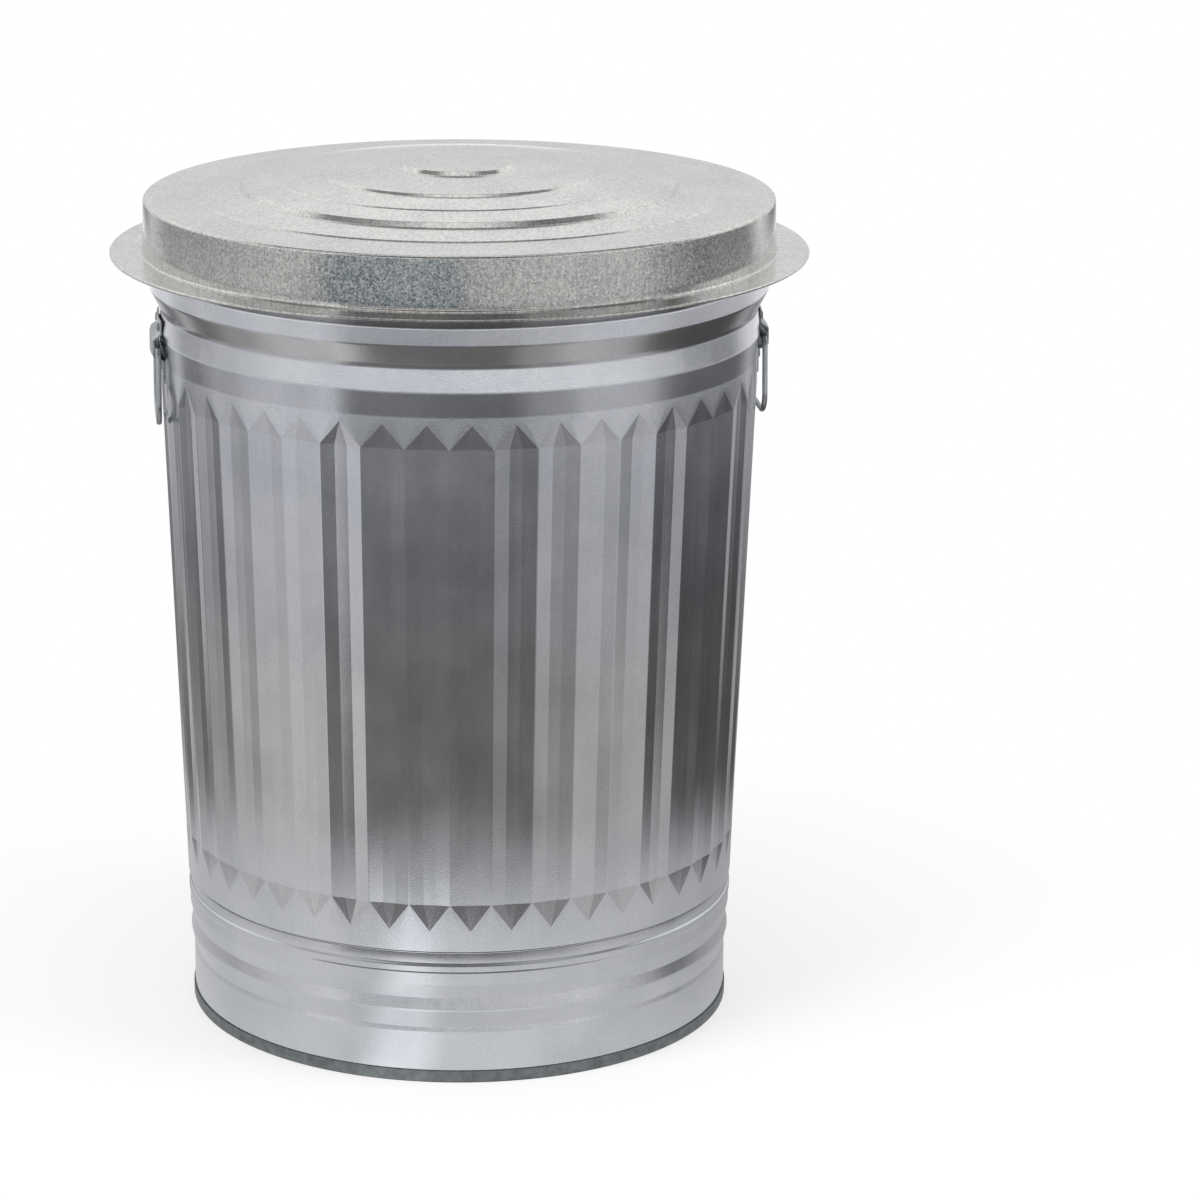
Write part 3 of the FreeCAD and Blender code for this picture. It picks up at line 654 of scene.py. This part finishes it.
def blend(tree, factor, low, high):
    """A mix of two colours."""
    node = add(tree, "ShaderNodeMix", data_type="RGBA")
    for socket, value in ((0, factor), (6, low), (7, high)):
        if isinstance(value, bpy.types.NodeSocket):
            tree.links.new(value, node.inputs[socket])
        else:
            node.inputs[socket].default_value = value
    return node.outputs[2]


def choose(tree, factor, first, second):
    """A mix of two shaders."""
    return add(tree, "ShaderNodeMixShader", {0: factor, 1: first, 2: second}).outputs[0]


class TRASHCAN_OT_stage(bpy.types.Operator):
    """Sets the floor, the studio's light, the painted reflection in the metals and the camera"""

    bl_idname = "trashcan.stage"
    bl_label = "Stage"

    def execute(self, context):
        scene = context.scene
        self.floor(scene)
        self.surroundings(scene)
        self.lamp(scene, "Left soft box", (-2.2, -1.6, 2.6), 60.0)
        self.lamp(scene, "Right soft box", (2.4, -1.0, 2.4), 40.0)
        self.camera(scene)
        scene.view_settings.view_transform = "Standard"
        return {"FINISHED"}

    def floor(self, scene):
        """White paper with the can's shadow; glossy rays see the fitted tables on it instead, a painted
        reflection.
        """
        mesh = bmesh.new()
        bmesh.ops.create_circle(mesh, cap_ends=True, segments=96, radius=FLOOR_REACH)
        data = bpy.data.meshes.new("studio_floor")
        mesh.to_mesh(data)
        mesh.free()
        floor = bpy.data.objects.new("studio_floor", data)
        scene.collection.objects.link(floor)
        material = bpy.data.materials.new("white_paper_floor")
        material.use_nodes = True
        tree = material.node_tree
        tree.nodes.clear()
        output = add(tree, "ShaderNodeOutputMaterial")
        place = add(tree, "ShaderNodeTexCoord").outputs["Object"]
        distance = add(tree, "ShaderNodeVectorMath", {0: place}, operation="LENGTH").outputs["Value"]
        share = calc(tree, "DIVIDE", distance, FLOOR_REACH)

        def by_distance(table):
            return ramp(tree, share, [(reach / FLOOR_REACH, tone(value)) for reach, value in table])

        # Painted reflection for glossy rays, by direction round the can and by distance from it.
        painted_round = add(tree, "ShaderNodeVectorMath", {0: by_direction(tree, place, PAINTED_REFLECTION_ROUND),
                                                    1: by_distance(PAINTED_REFLECTION_TINT)}, operation="MULTIPLY")
        far = blend(tree, by_distance(FAR_PAINTED_REFLECTION), painted_round.outputs["Vector"], grey(PAINTED_BRIGHT_REFLECTION))
        outer = blend(tree, by_distance(BAND), far, by_direction(tree, place, PAINTED_BAND_REFLECTION))
        slant = add(tree, "ShaderNodeLayerWeight", {"Blend": 0.5}).outputs["Facing"]
        near = calc(tree, "MULTIPLY", spread(tree, distance, *NEAR_SHEEN_REACH, 1.0, 0.0),
                    spread(tree, slant, *SHEEN_SLANT))
        mirrored = blend(tree, near, outer, by_direction(tree, place, NEAR_SHEEN))
        paper = add(tree, "ShaderNodeBsdfDiffuse", {"Color": linear("#F4F4F2")}).outputs[0]
        white = add(tree, "ShaderNodeEmission", {"Color": grey(1.0), "Strength": 1.0}).outputs[0]
        mirror = add(tree, "ShaderNodeEmission", {"Color": mirrored, "Strength": 1.0}).outputs[0]
        path = add(tree, "ShaderNodeLightPath").outputs
        to_camera = choose(tree, spread(tree, distance, *SHADOW_FADE, 0.55, 1.0), paper, white)
        by_camera = choose(tree, path["Is Camera Ray"], paper, to_camera)
        surface = choose(tree, path["Is Glossy Ray"], by_camera, mirror)
        tree.links.new(surface, output.inputs["Surface"])
        data.materials.append(material)

    def surroundings(self, scene):
        """White to the camera, soft grey light to matt surfaces, the fitted tables to glossy rays as a
        painted reflection.
        """
        world = bpy.data.worlds.new("pale_studio")
        world.use_nodes = True
        tree = world.node_tree
        tree.nodes.clear()
        output = add(tree, "ShaderNodeOutputWorld")
        place = add(tree, "ShaderNodeTexCoord").outputs["Generated"]
        height = add(tree, "ShaderNodeSeparateXYZ", {"Vector": place}).outputs["Z"]
        backwards = (-math.cos(FRONT_ANGLE), -math.sin(FRONT_ANGLE), 0)
        away = add(tree, "ShaderNodeVectorMath", {0: place, 1: backwards},
                   operation="DOT_PRODUCT").outputs["Value"]
        # Painted reflection for glossy rays: round the can, above it and behind it.
        pale = calc(tree, "MAXIMUM", spread(tree, height, *HIGH), spread(tree, away, *BEHIND))
        painted_above = ramp(tree, height, [(level, grey(value)) for level, value in PAINTED_REFLECTION_ABOVE])
        painted_sides = blend(tree, spread(tree, height, *HORIZON), by_direction(tree, place, PAINTED_REFLECTION_ROUND),
                      grey(PAINTED_BRIGHT_REFLECTION))
        mirrored = blend(tree, pale, painted_sides, painted_above)
        mirror = add(tree, "ShaderNodeBackground", {"Color": mirrored, "Strength": 1.0}).outputs[0]
        soft = add(tree, "ShaderNodeBackground", {"Color": grey(0.75), "Strength": 1.0}).outputs[0]
        white = add(tree, "ShaderNodeBackground", {"Color": grey(1.0), "Strength": 1.0}).outputs[0]
        path = add(tree, "ShaderNodeLightPath").outputs
        by_gloss = choose(tree, path["Is Glossy Ray"], soft, mirror)
        tree.links.new(choose(tree, path["Is Camera Ray"], by_gloss, white), output.inputs["Surface"])
        scene.world = world

    def lamp(self, scene, name, place, power):
        """A soft box aimed at the middle of the can, unseen in the metal."""
        light = bpy.data.lights.new(name, "AREA")
        light.energy = power
        light.size = 1.6
        lamp = bpy.data.objects.new(name, light)
        lamp.location = place
        lamp.rotation_euler = (Vector((0, 0, 0.35)) - Vector(place)).to_track_quat("-Z", "Y").to_euler()
        lamp.visible_glossy = False
        scene.collection.objects.link(lamp)

    def camera(self, scene):
        """The camera that the photograph was solved with."""
        eye = bpy.data.cameras.new("Photo camera")
        eye.sensor_width = SENSOR_WIDTH
        eye.lens = FOCAL_LENGTH / PICTURE_WIDTH * SENSOR_WIDTH
        eye.shift_x = (PICTURE_WIDTH / 2 - CAN_COLUMN) / PICTURE_WIDTH
        eye.clip_end = 60.0
        camera = bpy.data.objects.new("Photo camera", eye)
        camera.location = (CAMERA_AWAY * math.cos(FRONT_ANGLE), CAMERA_AWAY * math.sin(FRONT_ANGLE),
                           CAMERA_HEIGHT)
        camera.rotation_euler = (math.pi / 2 - CAMERA_DIP, 0.0, FRONT_ANGLE + math.pi / 2)
        scene.collection.objects.link(camera)
        scene.camera = camera


# ---------------------------------------------------------------------------------------------
# Add-on


class TRASHCAN_PT_panel(bpy.types.Panel):
    """Lists the sizes, the colours and the steps that build the can"""

    bl_label = "Trash Can"
    bl_idname = "TRASHCAN_PT_panel"
    bl_space_type = "VIEW_3D"
    bl_region_type = "UI"
    bl_category = "Trash Can"

    def draw(self, context):
        for group_name in GROUPS:
            box = self.layout.box()
            box.label(text=group_name.split("_")[1].capitalize())
            group = getattr(context.scene, group_name)
            for prop in group.bl_rna.properties:
                if prop.identifier not in {"rna_type", "name"}:
                    box.prop(group, prop.identifier)
        for operator in OPERATORS:
            self.layout.operator(operator.bl_idname)


GROUPS = {
    "trashcan_wall": WallSizes,
    "trashcan_base": BaseSizes,
    "trashcan_lid": LidSizes,
    "trashcan_colours": ZincColours,
}
OPERATORS = [TRASHCAN_OT_wall, TRASHCAN_OT_base, TRASHCAN_OT_lid, TRASHCAN_OT_handles, TRASHCAN_OT_stage]


def register():
    """Adds the sizes, the steps and the panel."""
    for group_name, group in GROUPS.items():
        bpy.utils.register_class(group)
        setattr(bpy.types.Scene, group_name, PointerProperty(type=group))
    for operator in OPERATORS:
        bpy.utils.register_class(operator)
    bpy.utils.register_class(TRASHCAN_PT_panel)


def unregister():
    """Takes away what register adds."""
    bpy.utils.unregister_class(TRASHCAN_PT_panel)
    for operator in reversed(OPERATORS):
        bpy.utils.unregister_class(operator)
    for group_name, group in GROUPS.items():
        delattr(bpy.types.Scene, group_name)
        bpy.utils.unregister_class(group)


def main():
    """Builds the can and its stage."""
    register()
    bpy.ops.trashcan.wall()
    bpy.ops.trashcan.base()
    bpy.ops.trashcan.lid()
    bpy.ops.trashcan.handles()
    bpy.ops.trashcan.stage()


if __name__ == "__main__":
    main()
